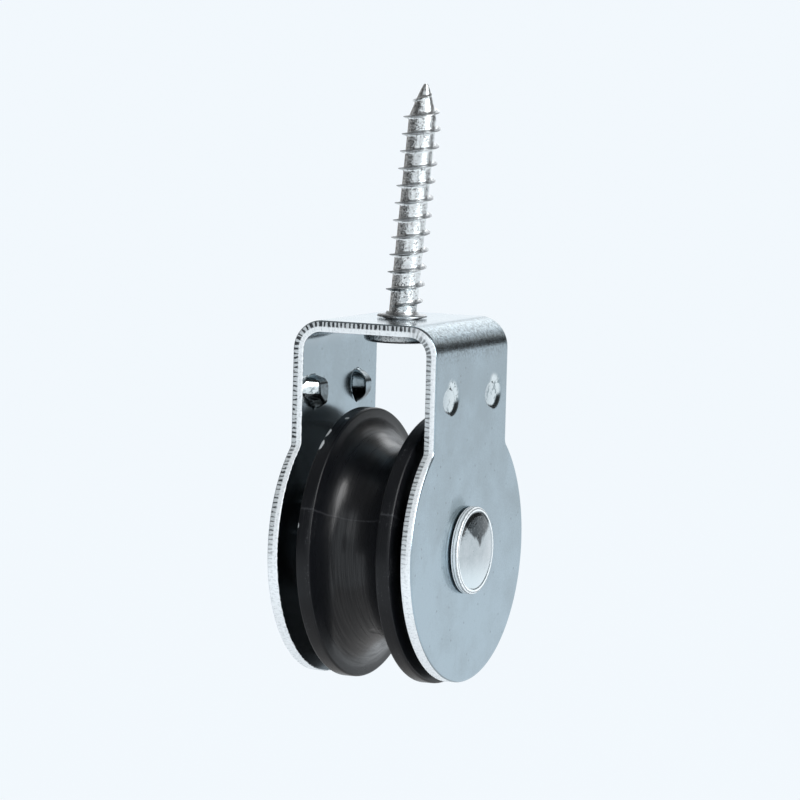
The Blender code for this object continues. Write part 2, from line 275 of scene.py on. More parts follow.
class Finish:
    """A material with its Principled shader, and one method that adds any other node."""

    def __init__(self, name, **constants):
        self.material = bpy.data.materials.new(name)
        self.material.use_nodes = True
        self.tree = self.material.node_tree
        self.shader = self.tree.nodes["Principled BSDF"]
        for socket, value in constants.items():
            self.shader.inputs[socket.replace("_", " ")].default_value = value

    def node(self, kind, settings=None, inputs=None, out=0):
        """Adds a node with these settings, sets or links its sockets, and gives the outputs asked for."""
        made = self.tree.nodes.new(kind)
        for name, value in (settings or {}).items():
            if name == "stops":
                ramp = made.color_ramp.elements
                while len(ramp) < len(value):
                    ramp.new(1)
                for stop, (position, shade) in zip(ramp, value):
                    stop.position = position
                    stop.color = (*shade, 1)
            else:
                setattr(made, name, value)
        for name, value in (inputs or {}).items():
            socket = made.inputs[name]
            if isinstance(value, Value):
                self.tree.links.new(value.socket, socket)
            elif socket.type == "RGBA":
                socket.default_value = (*value, 1)
            else:
                socket.default_value = value
        if isinstance(out, tuple):
            return [Value(self, made.outputs[name]) for name in out]
        return Value(self, made.outputs[out])

    def maths(self, operation, first, second=0.0):
        return self.node("ShaderNodeMath", {"operation": operation}, {0: first, 1: second})

    def place(self):
        """The point on the piece, in millimetres."""
        place = self.node("ShaderNodeTexCoord", out="Object")
        return self.node("ShaderNodeVectorMath", {"operation": "SCALE"}, {"Vector": place, "Scale": 1 / MM})

    def noise(self, place, scale, detail=2.0, roughness=0.5):
        return self.node("ShaderNodeTexNoise", {"noise_dimensions": "3D"},
                         {"Vector": place, "Scale": scale, "Detail": detail, "Roughness": roughness})

    def cells(self, place, scale):
        """How far each point is from the nearest of many scattered ones."""
        return self.node("ShaderNodeTexVoronoi", {"feature": "F1"}, {"Vector": place, "Scale": scale})

    def ramp(self, value, *stops):
        return self.node("ShaderNodeValToRGB", {"stops": stops}, {"Fac": value})

    def rise(self, value, low, high):
        """0 below low, 1 above high, with a smooth rise between them. With low above high it falls."""
        return self.node("ShaderNodeMapRange", {"interpolation_type": "SMOOTHSTEP"},
                         {"Value": value, "From Min": low, "From Max": high})

    def mix(self, factor, first, second):
        return self.node("ShaderNodeMix", {"data_type": "RGBA"}, {0: factor, 6: first, 7: second}, out=2)

    def split(self, vector):
        """A vector's three numbers."""
        return self.node("ShaderNodeSeparateXYZ", None, {0: vector}, out=("X", "Y", "Z"))

    def join(self, x, y, z):
        return self.node("ShaderNodeCombineXYZ", None, {0: x, 1: y, 2: z})

    def attribute(self, name):
        return self.node("ShaderNodeAttribute", {"attribute_name": name}, out="Fac")

    def bump(self, height, strength, distance):
        return self.node("ShaderNodeBump", None,
                         {"Height": height, "Strength": strength, "Distance": distance * MM})

    def feed(self, **links):
        """Links values to the shader's sockets."""
        for name, value in links.items():
            self.tree.links.new(value.socket, self.shader.inputs[name.replace("_", " ")])
        return self.material


# Finishes

def zinc_sheet_finish():
    """Blue-passivated zinc on cold-rolled sheet: satin faces, grainy bends, sheared edges in two zones."""
    zinc = Finish("zinc_plated_sheet")
    place = zinc.place()
    x, y, z = zinc.split(place)
    clouds = zinc.noise(place, 0.11, 3, 0.55)
    grain = zinc.noise(place, 2.6, 4, 0.6)
    coarse = zinc.noise(place, 1.7, 5, 0.75)
    smears = zinc.noise(place, 0.8, 3, 0.6)
    pit = zinc.rise(zinc.cells(place, 0.42), 0.13, 0.07)
    edge = zinc.attribute("edge")
    run = zinc.attribute("edge_run")
    deep = zinc.attribute("edge_depth")
    stretched = zinc.attribute("stretched") * (1 - deep)
    pressed = zinc.attribute("pressed")
    # Painted shade: the sheet's faces are darker towards the top of the bracket and paler towards the
    # bottom
    low = zinc.rise(z, *SHEET_SHADE_Z)
    tone_and_shade = clouds * 0.7 + grain * 0.3 + low * 0.24 - 0.12
    face = zinc.ramp(tone_and_shade, (0.34, SHEET_DARK), (0.66, SHEET_PALE))
    face = zinc.mix(stretched * zinc.rise(coarse, 0.47, 0.56) * 0.6, face, BEND_GRAIN)
    # Painted highlight, mottled, in the dents and on the long lug's slope
    highlight_mottle = zinc.ramp(smears, (0.38, HIGHLIGHT_MOTTLE_DARK), (0.47, HIGHLIGHT_MOTTLE_BRIGHT))
    face = zinc.mix(pressed * 0.85, face, highlight_mottle)
    # Painted shade: dark crescents low in the dents, and on the lugs' sides and undersides
    dull = zinc.attribute("dull") * (zinc.rise(coarse, 0.62, 0.42) * 0.3 + 0.65)
    face = zinc.mix(dull, face, LUG_SHADE)
    face = zinc.mix(pit * 0.35, face, PIT)
    # Painted shade beside the rivet on the near cheek
    side = (y - RIVET_SHADE_Y) * RIVET_SHADE_FADE_Y
    high = (z + AXLE_DROP - RIVET_SHADE_UP) * RIVET_SHADE_FADE_UP
    rivet_shade = zinc.rise(side * side + high * high + (smears - 0.5) * 0.6, 1.0, 0.2)
    face = zinc.mix(rivet_shade * zinc.rise(x, *NEAR_FACE_X) * 0.75, face, RIVET_SHADE)
    wander = zinc.noise(zinc.join(run * 0.9, deep * 0.7, 0.0), 1.0, 3, 0.7)
    wave = zinc.maths("SINE", run * (2 * math.pi / TICK_PITCH) + wander * 9.0) * 0.5 + 0.5
    near = zinc.rise(x, *NEAR_CHEEK_X)
    inner = zinc.rise(deep, *INNER_HALF)
    # Painted shade on the inner faces low down, between the cheeks near the sheave
    face = zinc.mix(inner * zinc.rise(z, *INSIDE_SHADE_Z) * 0.85, face, INSIDE_SHADE)
    zone = near * inner + (1 - near) * (1 - inner)
    # The ticks are marks of the cutting tool, painted dark as the dark reflections they show, and their
    # half of the edge gets painted shade; both fade out towards the bottom
    fade = zinc.rise(z, *TICKS_Z)
    web = zinc.rise(z, *WEB_Z)
    ticks = zinc.rise(wave + (wander - 0.5) * 1.6, 0.66 - web * 0.30, 0.86 - web * 0.30)
    drag = ticks * zone * (fade * 0.92 + 0.08)
    crumbs = zinc.noise(zinc.join(run * 2.6, deep * 3.0, 4.0), 1.0, 4, 0.75)
    cut = zinc.ramp(crumbs, (0.32, CUT_GREY), (0.50, CUT_BRIGHT))
    cut = zinc.mix(zone * fade * 0.5, cut, CUT_SHADE)
    cut = zinc.mix(drag * (near * -0.25 + 0.95), cut, TICK_DARK_REFLECTION)
    colour = zinc.mix(edge, face, cut)
    height = grain * 0.3 + zinc.noise(place, 0.5, 2) * 0.5 + coarse * stretched * 3.0
    height = height + smears * pressed * 4.0 - pit * 0.6 + (crumbs * 1.2 - drag * 1.5) * edge
    rough = clouds * 0.10 + edge * 0.26 + 0.15
    bump = zinc.bump(height, 0.35, 0.03)
    return zinc.feed(Base_Color=colour, Metallic=1 - edge * 0.55, Roughness=rough, Normal=bump)


def zinc_screw_finish():
    """Bright zinc over a rolled thread: hard silver and mottled, with painted shade on its left side and on
    its flights.
    """
    zinc = Finish("zinc_plated_screw", Metallic=1.0)
    place = zinc.place()
    x, y, z = zinc.split(place)
    grain = zinc.noise(place, 2.4, 5, 0.75)
    clouds = zinc.noise(place, 0.5, 3)
    sideways = x - z * math.tan(math.radians(SCREW_LEAN))
    # Mottled stains, and painted shade that adds more of them on the left side
    left = zinc.rise(sideways * 0.90 + y * 0.43, 0.1, -1.4)
    stain_and_shade = zinc.rise(grain + left * 0.04, 0.545, 0.60)
    # Painted shade on the flights
    flight = zinc.rise(zinc.maths("SQRT", sideways * sideways + y * y), *FLIGHT_SHADE_RADII)
    colour = zinc.ramp(grain * 0.5 + clouds * 0.5, (0.40, SCREW_GREY), (0.56, SCREW_BRIGHT))
    colour = zinc.mix(stain_and_shade * 0.85, colour, SCREW_STAIN_AND_SHADE)
    colour = zinc.mix(flight * 0.5, colour, FLIGHT_SHADE)
    rough = clouds * 0.08 + stain_and_shade * 0.15 + flight * 0.1 + 0.05
    return zinc.feed(Base_Color=colour, Roughness=rough, Normal=zinc.bump(grain, 0.7, 0.10))


def zinc_rivet_finish():
    """Bright zinc on a cold-headed rivet, with small dents, a painted dark reflection high on the dome, a
    painted highlight low on it, and a ringed side.
    """
    zinc = Finish("zinc_plated_rivet")
    place = zinc.place()
    x, y, z = zinc.split(place)
    grain = zinc.noise(place, 2.0, 5, 0.65)
    clouds = zinc.noise(place, 0.25, 4, 0.6)
    spot = zinc.rise(zinc.cells(place, 0.55), 0.2, 0.08)
    up = z + AXLE_DROP
    # Painted dark reflection high on the dome
    dark_reflection = zinc.rise(up + clouds * 5.0 - zinc.maths("ABSOLUTE", y) * 0.75, *REFLECTION_FOOT)
    dark_reflection = dark_reflection * zinc.rise(up, *REFLECTION_TOP)
    colour = zinc.ramp(clouds * 0.75 + grain * 0.25, (0.36, RIVET_GREY), (0.66, RIVET_PALE))
    # Painted highlight low on the head
    colour = zinc.mix(zinc.rise(up, *FOOT_HIGHLIGHT) * 0.8, colour, RIVET_FOOT_HIGHLIGHT)
    colour = zinc.mix(dark_reflection * (zinc.rise(grain, 0.66, 0.54) * 0.24 + 0.72), colour, DARK_REFLECTION)
    out = zinc.maths("SQRT", y * y + up * up)
    side = zinc.rise(out, RIVET_RADIUS - HEAD_SIDE[0], RIVET_RADIUS - HEAD_SIDE[1])
    rings = zinc.rise(zinc.maths("SINE", (x + out) * 10.5 + grain * 3.0) + grain, 0.9, 1.3)
    colour = zinc.mix(side, colour, zinc.mix(rings * 0.8, RING_BRIGHT, RING_DARK))
    rough = clouds * 0.12 + side * 0.2 + 0.08
    bump = zinc.bump(grain * 0.5 + clouds * 2.4 - spot * 0.9, 0.6, 0.07)
    return zinc.feed(Base_Color=colour, Metallic=1 - side * 0.6, Roughness=rough, Normal=bump)


def plain_steel_finish():
    """The sleeve: plain turned tube with rings round it."""
    steel = Finish("plain_steel_tube", Metallic=1.0)
    place = steel.place()
    rings = steel.noise(steel.join(steel.split(place)[0] * 3.0, 0.0, 0.0), 1.0, 3)
    clouds = steel.noise(place, 0.4, 2)
    colour = steel.ramp(clouds * 0.6 + rings * 0.4, (0.3, STEEL_DARK), (0.7, STEEL_PALE))
    return steel.feed(Base_Color=colour, Roughness=rings * 0.2 + 0.3, Normal=steel.bump(rings, 0.4, 0.03))


def black_plastic_finish():
    """Moulded black polyamide: dull rims with worn marks, and a smoother groove with streaks round it, a
    witness line and a sink mark."""
    black = Finish("black_plastic", Metallic=0.0, Specular_IOR_Level=0.25,
                   Coat_Roughness=0.18, Coat_IOR=1.5)
    place = black.place()
    x, y, z = black.split(place)
    around = black.maths("ARCTAN2", y, z + AXLE_DROP)
    streaks = black.noise(black.join(x * 3.6, around, 0.0), 1.0, 4, 0.7)
    fine = black.noise(black.join(x * 8.0, around * 1.8, 3.0), 1.0, 3, 0.7)
    clouds = black.noise(place, 0.16, 3)
    grain = black.noise(place, 3.0, 3)
    off_seam = black.maths("ABSOLUTE", around - WITNESS_ANGLE + (streaks - 0.5) * 0.02)
    seam = black.rise(off_seam, 0.010, 0.003)
    off_middle = black.maths("ABSOLUTE", x - SHEAVE_MIDDLE)
    flats = black.rise(off_middle, RIM_HALF - RIM_FLAT - RIM_FADE, RIM_HALF - RIM_FLAT)
    scuffs = black.rise(streaks * 0.5 + grain * 0.5, 0.56, 0.68) * black.rise(clouds, 0.46, 0.62) * flats
    ragged = (black.noise(place, 1.4, 3, 0.7) - 0.5) * 1.6
    worn = 0
    for place_x, place_around, half_x, half_around in WORN_MARKS:
        across = (x - place_x) * (1 / half_x)
        along = (around - place_around) * (1 / half_around)
        worn += black.rise(across * across + along * along + ragged, 1.1, 0.7)
    sunk_x = (x - SINK_MARK[0]) * (1 / SINK_MARK[2])
    sunk_around = (around - SINK_MARK[1]) * (1 / SINK_MARK[3])
    sunk = black.rise(sunk_x * sunk_x + sunk_around * sunk_around, 1.3, 0.0)
    colour = black.mix(clouds, BLACK, BLACK_CLOUD)
    colour = black.mix(scuffs * 0.5, colour, SCUFF)
    colour = black.mix(seam * 0.3, colour, SEAM)
    colour = black.mix(worn * 0.9, colour, WORN)
    rough = streaks * 0.2 + scuffs * 0.15 + 0.2
    gloss = (1 - flats) * (black.rise(streaks * 0.5 + fine * 0.5, 0.40, 0.60) * 0.5 + 0.08)
    bump = black.bump(streaks + fine * 0.5 + grain * 0.1 + seam * 0.5 - sunk * 6.0, 0.6, 0.06)
    return black.feed(Base_Color=colour, Roughness=rough, Coat_Weight=gloss, Normal=bump)


# Mesh helpers

def add_object(name, data):
    """A new object in the scene."""
    made = bpy.data.objects.new(name, data)
    bpy.context.scene.collection.objects.link(made)
    return made


def place_piece(name, bm, finish, node, body, sharp, matrix=None):
    """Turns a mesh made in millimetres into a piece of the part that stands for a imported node. Edges that
    turn by more than sharp, in degrees, stay sharp."""
    bmesh.ops.remove_doubles(bm, verts=bm.verts, dist=1e-4)
    bmesh.ops.recalc_face_normals(bm, faces=bm.faces)
    bmesh.ops.transform(bm, matrix=Matrix.Scale(MM, 4) @ (matrix or Matrix.Identity(4)), verts=bm.verts)
    mesh = bpy.data.meshes.new(name)
    bm.to_mesh(mesh)
    bm.free()
    mesh.shade_smooth()
    mesh.set_sharp_from_angle(angle=math.radians(sharp))
    mesh.materials.append(finish)
    piece = add_object(name, mesh)
    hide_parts(node)
    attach(piece, body)


def arc(centre, radius, start, end, steps):
    """Points on an arc, from start to end, both in degrees."""
    points = []
    for i in range(steps + 1):
        angle = math.radians(start + (end - start) * i / steps)
        points.append((centre[0] + radius * math.cos(angle), centre[1] + radius * math.sin(angle)))
    return points


def smooth_step(value):
    """0 below 0, 1 above 1, and an even rise between them."""
    value = min(max(value, 0.0), 1.0)
    return value * value * (3 - 2 * value)


def turned(profile, sides):
    """A solid of revolution about Z from (radius, height) points that start and end on the axis,
    or from a closed ring of points when the first and the last are the same."""
    bm = bmesh.new()
    closed = profile[0] == profile[-1]
    points = profile[:-1] if closed else profile
    rings = []
    for radius, height in points:
        count = 1 if radius < 1e-6 else sides
        ring = []
        for i in range(count):
            angle = 2 * math.pi * i / sides
            ring.append(bm.verts.new((radius * math.cos(angle), radius * math.sin(angle), height)))
        rings.append(ring)
    pairs = list(zip(rings, rings[1:]))
    if closed:
        pairs.append((rings[-1], rings[0]))
    for low, high in pairs:
        for i in range(sides):
            corners = [low[i % len(low)], low[(i + 1) % len(low)],
                       high[(i + 1) % len(high)], high[i % len(high)]]
            bm.faces.new(list(dict.fromkeys(corners)))
    return bm


# Bracket

def fold(s, y, depth):
    """A point of the flat blank, depth below its outer face, after both bends."""
    side = math.copysign(1, s)
    along = abs(s)
    if along <= FLAT_WEB:
        return Vector((s, y, -depth))
    bent = min((along - FLAT_WEB) / BEND_RUN, 1.0) * math.pi / 2
    down = max(along - FLAT_WEB - BEND_RUN, 0.0)
    radius = BEND_OUTSIDE - depth
    out = FLAT_WEB + radius * math.sin(bent)
    return Vector((side * out, y, radius * math.cos(bent) - BEND_OUTSIDE - down))


def blank_edge():
    """The blank's edge as (point, outward normal) pairs, one after another round the strip."""
    half = STRAP_DEPTH / 2
    across = half + NECK_FILLET
    rise = math.sqrt((CHEEK_RADIUS + NECK_FILLET) ** 2 - across ** 2)
    neck_angle = math.degrees(math.atan2(rise, across))
    neck_s = DISC_MIDDLE - rise
    steps = round(neck_s / EDGE_STEP)
    quarter = [((neck_s * i / steps, half), (0, 1)) for i in range(steps)]
    turn = round(math.radians(neck_angle) * NECK_FILLET / EDGE_STEP) + NECK_EXTRA_STEPS
    for i in range(turn):
        angle = math.radians(neck_angle * i / turn)
        quarter.append(((neck_s + NECK_FILLET * math.sin(angle), across - NECK_FILLET * math.cos(angle)),
                        (-math.sin(angle), math.cos(angle))))
    sweep = math.pi / 2 + math.radians(neck_angle)
    turn = round(sweep * CHEEK_RADIUS / EDGE_STEP)
    for i in range(turn + 1):
        angle = sweep * (1 - i / turn)
        normal = (math.cos(angle), math.sin(angle))
        quarter.append(((DISC_MIDDLE + CHEEK_RADIUS * normal[0], CHEEK_RADIUS * normal[1]), normal))
    lower = [((s, -y), (ns, -ny)) for (s, y), (ns, ny) in reversed(quarter[1:-1])]
    right = quarter + lower + [((0, -half), (0, -1))]
    left = [((-s, -y), (-ns, -ny)) for (s, y), (ns, ny) in right[1:-1]]
    return right + left


def circle_edge(centre, radius):
    """A hole's edge as (point, normal) pairs. The normal points into the hole, out of the sheet."""
    steps = round(2 * math.pi * radius / EDGE_STEP)
    edge = []
    for i in range(steps):
        angle = 2 * math.pi * i / steps
        across = (math.cos(angle), math.sin(angle))
        edge.append(((centre + radius * across[0], radius * across[1]), (-across[0], -across[1])))
    return edge


def in_oval(a, b, place, half):
    """1 in the middle of an oval, 0 on its edge and less outside."""
    return 1 - math.hypot((a - place[0]) / half[0], (b - place[1]) / half[1])


def dent(a, b):
    """The lug's mark on the outer face: a crisp, shallow oval with a soft dish round its right side.
    Gives its depth, and how much painted highlight and painted shade it gets."""
    bowl = smooth_step(in_oval(a, b, BOWL_PLACE, BOWL_HALF) / BOWL_SOFT)
    dish = smooth_step(in_oval(a, b, DISH_PLACE, DISH_HALF) / DISH_SOFT)
    dish *= smooth_step((a - DISH_LEFT) / DISH_RISE)
    floor = DENT_SHALLOW + (DENT_DEEP - DENT_SHALLOW) * (a - DENT_LEFT) / DENT_WIDTH
    depth = DISH_DEPTH * dish * (1 - bowl) + floor * bowl
    # Painted shade: a dark crescent low on the dent's right side; the rest of the dent gets a painted
    # highlight
    dull = smooth_step((a * 0.3 - b - 1.1) / 0.8) * (1 - bowl) * smooth_step(depth * 8)
    return depth, smooth_step(depth * 3) * (1 - dull), dull


def bulge(a, b, long):
    """The lug on the inner face: round from top to bottom, with a slope up from the left and a steep right
    end. The long one starts further left and is flatter. Gives its height, the painted highlight on the
    long one, and its painted shade."""
    across = abs(b) / ((LUG_ABOVE if b >= 0 else LUG_BELOW) + LUG_WALL)
    if across >= 1:
        return 0.0, 0.0, 0.0
    square = 3 if b >= 0 else 2
    section = (1 - across ** square) ** (1 / square)
    crown = 1 - across ** (LEAD_CROWN if long else LUG_CROWN)
    left = LUG_LEFT * (1 if b >= 0 else 1 - LUG_TUCK * smooth_step(across))
    ramp = LUG_RAMP
    way = a
    if long:
        lead = min(max((b - LEAD_FOOT) / LEAD_FADE, 0.0), 1.0)
        left += LEAD_LEFT * lead
        ramp += (LEAD_RAMP - LUG_RAMP) * lead
        way += LEAD_TILT * b
    front = (way + left * section) / (ramp * section)
    right = (LUG_RIGHT * section - a) / (LUG_WALL * section)
    rise = max(min(front, right, 1.0), 0.0) * crown
    # Painted highlight on the long lug's slope, and painted shade on the lugs' sides and undersides
    bright = 0.0
    if long:
        bright = smooth_step((1 - front) / 0.12) * smooth_step((b - a * 1.1 - 2.8) / 0.5 + 0.5)
    if front < 1:
        shade = 0.45 + 0.55 * smooth_step((0.5 - b) / 1.2)
    else:
        shade = (0.8 if long else 0.2) + 0.75 * smooth_step(-b / 1.5) + 0.6 * smooth_step((b - 0.6) / 0.8)
    return LUG_PUSH * rise, bright, smooth_step(rise * 3) * (1 - bright) * min(shade, 1.0)


def press(s, y, depth):
    """How far the lugs push a point of the blank inwards, and how much painted highlight and painted shade
    it gets."""
    b = DISC_MIDDLE - abs(s) - AXLE_DROP + LUG_DROP
    a = y - math.copysign(LUG_SPACING / 2, y) + (FAR_LUG_SHIFT if s < 0 else 0)
    if max(abs(a) - LUG_ROOM_BESIDE, abs(b)) > LUG_ROOM:
        return 0.0, 0.0, 0.0
    if depth > SHEET / 2:
        return bulge(a, b, s < 0 and y < 0)
    return dent(a, b)


def sheet_face(rings):
    """Triangles over the blank inside its edge ring and outside its holes."""
    points = []
    edges = []
    for ring in rings:
        first = len(points)
        points += [Vector(point) for point in ring]
        edges += [(first + i, first + (i + 1) % len(ring)) for i in range(len(ring))]
    half = STRAP_DEPTH / 2

    def inside(s, y, margin):
        """Whether a point lies on the blank, that far from its edge and its holes."""
        if min((Vector((s, y)) - Vector(centre)).length - radius for centre, radius in HOLES) < margin:
            return False
        disc = (Vector((abs(s), y)) - Vector((DISC_MIDDLE, 0))).length < CHEEK_RADIUS - ROLL_IN - margin
        return disc or (abs(y) < half - ROLL_IN - margin and abs(s) < DISC_MIDDLE)

    reach = DISC_MIDDLE + CHEEK_RADIUS
    columns = int(reach / FACE_STEP)
    rows = int(CHEEK_RADIUS / FACE_STEP)
    lug_s = DISC_MIDDLE - AXLE_DROP + LUG_DROP
    wide = LUG_ROOM + FAR_LUG_SHIFT

    def in_lug(s, y):
        return abs(abs(s) - lug_s) < LUG_ROOM and abs(abs(y) - LUG_SPACING / 2) < wide

    def in_bend(s):
        return FLAT_WEB - FACE_STEP / 2 < abs(s) < FLAT_WEB + BEND_RUN + FACE_STEP / 2

    for i in range(-columns, columns + 1):
        for j in range(-rows, rows + 1):
            s, y = i * FACE_STEP, (j + 0.5 * (i % 2)) * FACE_STEP
            if inside(s, y, FACE_STEP * FACE_MARGIN) and not in_lug(s, y) and not in_bend(s):
                points.append(Vector((s, y)))
    for side in (-1, 1):
        for i in range(BEND_ROWS + 1):
            s = side * (FLAT_WEB + BEND_RUN * i / BEND_ROWS)
            for j in range(-rows * 2, rows * 2 + 1):
                y = j * FACE_STEP / 2
                if inside(s, y, FACE_STEP * BEND_MARGIN):
                    points.append(Vector((s, y)))
        steps_s = round(LUG_ROOM / LUG_GRID)
        steps_y = round(wide / LUG_GRID)
        for middle in (-LUG_SPACING / 2, LUG_SPACING / 2):
            for i in range(-steps_s, steps_s + 1):
                for j in range(-steps_y, steps_y + 1):
                    s, y = side * lug_s + i * LUG_GRID, middle + (j + 0.5 * (i % 2)) * LUG_GRID
                    if inside(s, y, LUG_GRID):
                        points.append(Vector((s, y)))
    found = geometry.delaunay_2d_cdt(points, edges, [], 1, 1e-5)
    corners, faces = found[0], found[2]
    kept = []
    for face in faces:
        middle = sum((corners[i] for i in face), Vector((0, 0))) / len(face)
        if all((middle - Vector(centre)).length > radius + ROLL_IN * 0.2 for centre, radius in HOLES):
            kept.append(face)
    return corners, kept


def edge_rows():
    """The edge's section as (way in from the edge, depth) pairs, from the outer face to the inner one."""
    rows = []
    for i in range(ROLL_STEPS + 1):
        angle = math.pi / 2 * i / ROLL_STEPS
        rows.append((ROLL_IN * (1 - math.sin(angle)), ROLL_DOWN * (1 - math.cos(angle))))
    for i in range(1, WALL_STEPS + 1):
        rows.append((0.0, ROLL_DOWN + (SHEET - BURR - ROLL_DOWN) * i / WALL_STEPS))
    return rows + [(BURR * 0.3, SHEET - BURR * 0.3), (BURR, SHEET)]


def make_bracket():
    """The whole bracket as one skin: an outer face, an inner one, and a rolled edge round the blank and
    round each hole."""
    bm = bmesh.new()
    names = ("edge", "edge_run", "edge_depth", "stretched", "pressed", "dull")
    layers = {name: bm.verts.layers.float.new(name) for name in names}
    loops = [blank_edge()] + [circle_edge(centre[0], radius) for centre, radius in HOLES]
    rows = edge_rows()

    def add(s, y, depth, edge=0.0, run=0.0):
        push, bright, dull = press(s, y, depth)
        vert = bm.verts.new(fold(s, y, depth + push))
        vert[layers["edge"]] = edge
        vert[layers["edge_run"]] = run
        vert[layers["edge_depth"]] = depth / SHEET
        bent = (abs(s) - FLAT_WEB) / BEND_RUN
        vert[layers["stretched"]] = smooth_step(bent * 4) * smooth_step((1.15 - bent) * 3)
        vert[layers["pressed"]] = bright
        vert[layers["dull"]] = dull
        return vert

    for inset, depth in (rows[0], rows[-1]):
        rings = []
        for loop in loops:
            for back in (inset, inset + BORDER):
                rings.append([(s - ns * back, y - ny * back) for (s, y), (ns, ny) in loop])
        corners, faces = sheet_face(rings)
        verts = [add(corner.x, corner.y, depth) for corner in corners]
        for face in faces:
            bm.faces.new([verts[i] for i in face])
    for loop in loops:
        run = 0.0
        grid = []
        last = loop[-1][0]
        for (s, y), (ns, ny) in loop:
            run += math.hypot(s - last[0], y - last[1])
            last = (s, y)
            column = []
            for number, (inset, depth) in enumerate(rows):
                shown = 0.0 if number < ROLL_STEPS - 1 else 1.0
                column.append(add(s - ns * inset, y - ny * inset, depth, shown, run))
            grid.append(column)
        for here, there in zip(grid, grid[1:] + grid[:1]):
            for i in range(len(rows) - 1):
                bm.faces.new((here[i], there[i], there[i + 1], here[i + 1]))
    place_piece("folded_bracket", bm, zinc_sheet_finish(), "bracket", "bracket", 50)


# Sheave

def sheave_half_profile():
    """The sheave's section from the bottom of its groove to the end of its bore, for the +X side."""
    groove = RIM_HALF - RIM_FLAT
    soft = RIM_SOFT
    outline = arc((0, SHEAVE_RADIUS - GROOVE_DEPTH + groove), groove, -90, -GROOVE_FLANK, GROOVE_STEPS)
    outline += arc((groove + soft, SHEAVE_RADIUS - soft), soft, 180, 90, SOFT_STEPS)
    outline += [(groove + soft + (RIM_FLAT - 2 * soft) * i / 4, SHEAVE_RADIUS) for i in range(1, 4)]
    outline += arc((RIM_HALF - soft, SHEAVE_RADIUS - soft), soft, 90, 0, SOFT_STEPS)
    profile = [(radius, x) for x, radius in outline]
    floor = RIM_HALF - SIDE_RECESS
    profile += [(SHEAVE_RADIUS - RIM_WALL, RIM_HALF), (SHEAVE_RADIUS - RIM_WALL - SIDE_RECESS / 2, floor)]
    profile += [(HUB_RADIUS + SIDE_RECESS / 2, floor), (HUB_RADIUS, HUB_HALF - soft)]
    profile += [(HUB_RADIUS - soft, HUB_HALF), (SHEAVE_BORE, HUB_HALF)]
    return profile


def make_sheave():
    """The moulded sheave, turned from one section and its mirror image."""
    right = sheave_half_profile()
    left = [(radius, -x) for radius, x in right[:0:-1]]
    bm = turned(left + right + [left[0]], SHEAVE_SIDES)
    matrix = Matrix.Translation(AXIS + Vector((SHEAVE_MIDDLE, 0, 0))) @ ALONG_X
    place_piece("moulded_sheave", bm, black_plastic_finish(), "sheave", "sheave",
                40, matrix)


# Rivet

def rivet_head(radius, high):
    """A headed end from the middle of its dome to its seat: a low dome inside a rolled rim."""
    seat = BRACKET_WIDTH / 2 + SEAT_GAP
    rim = seat + HEAD_EDGE
    flat = radius - HEAD_SOFT
    inner = flat - HEAD_RIM
    dome = []
    for i in range(DOME_STEPS):
        share = 1 - (i / DOME_STEPS) ** 2
        dome.append((inner * i / DOME_STEPS, rim + DOME_LIFT + (high - rim - DOME_LIFT) * share))
    step = [(inner, rim - 0.03), (inner + 0.15, rim - 0.10), (inner + 0.3, rim - 0.02), (flat - 0.1, rim)]
    edge = arc((flat, rim - HEAD_SOFT), HEAD_SOFT, 80, 0, 8)
    return dome + step + edge + [(radius, seat + 0.1), (radius - 0.1, seat)]


def make_rivet():
    """The rivet: a wide head on the near cheek, a shank, and a smaller head on the far one."""
    near = rivet_head(RIVET_RADIUS, RIVET_HIGH.x)
    far = [(radius, -x) for radius, x in reversed(rivet_head(CLOSED_RADIUS, -RIVET_LOW.x))]
    profile = near + [(SHANK_RADIUS, near[-1][1]), (SHANK_RADIUS, far[0][1])] + far
    bm = turned(profile, RIVET_SIDES)
    matrix = Matrix.Translation(AXIS) @ ALONG_X
    place_piece("domed_rivet", bm, zinc_rivet_finish(), "axle_rivet", "bracket", 40, matrix)


# Wood screw

def core_radius(height):
    """The core's radius: even along the shank, and smaller towards the point."""
    share = min((SCREW_LENGTH - height) / POINT_LENGTH, 1.0)
    return POINT_RADIUS + (CORE_RADIUS - POINT_RADIUS) * share ** POINT_CURVE


def flight_height(height):
    """How far the flight stands out of the core: it grows at the foot and shrinks towards the point."""
    foot = smooth_step((height - THREAD_START) / (THREAD_PITCH / 2))
    point = smooth_step((SCREW_LENGTH - height) / POINT_LENGTH)
    return (THREAD_RADIUS - CORE_RADIUS) * foot * point


def flight_section():
    """The thread's section over one pitch as (offset along the screw, share of the flight's height)."""
    rows = [(-1.6, 0.0), (-1.2, 0.0), (-0.8, 0.0), (-0.5, 0.0), (-0.36, 0.05), (-0.27, 0.20), (-0.19, 0.50)]
    rows += [(-0.12, 0.85), (-0.06, 1.0), (0.06, 1.0), (0.12, 0.85), (0.19, 0.50), (0.27, 0.20)]
    return rows + [(0.36, 0.05), (0.5, 0.0), (0.8, 0.0), (1.2, 0.0)]


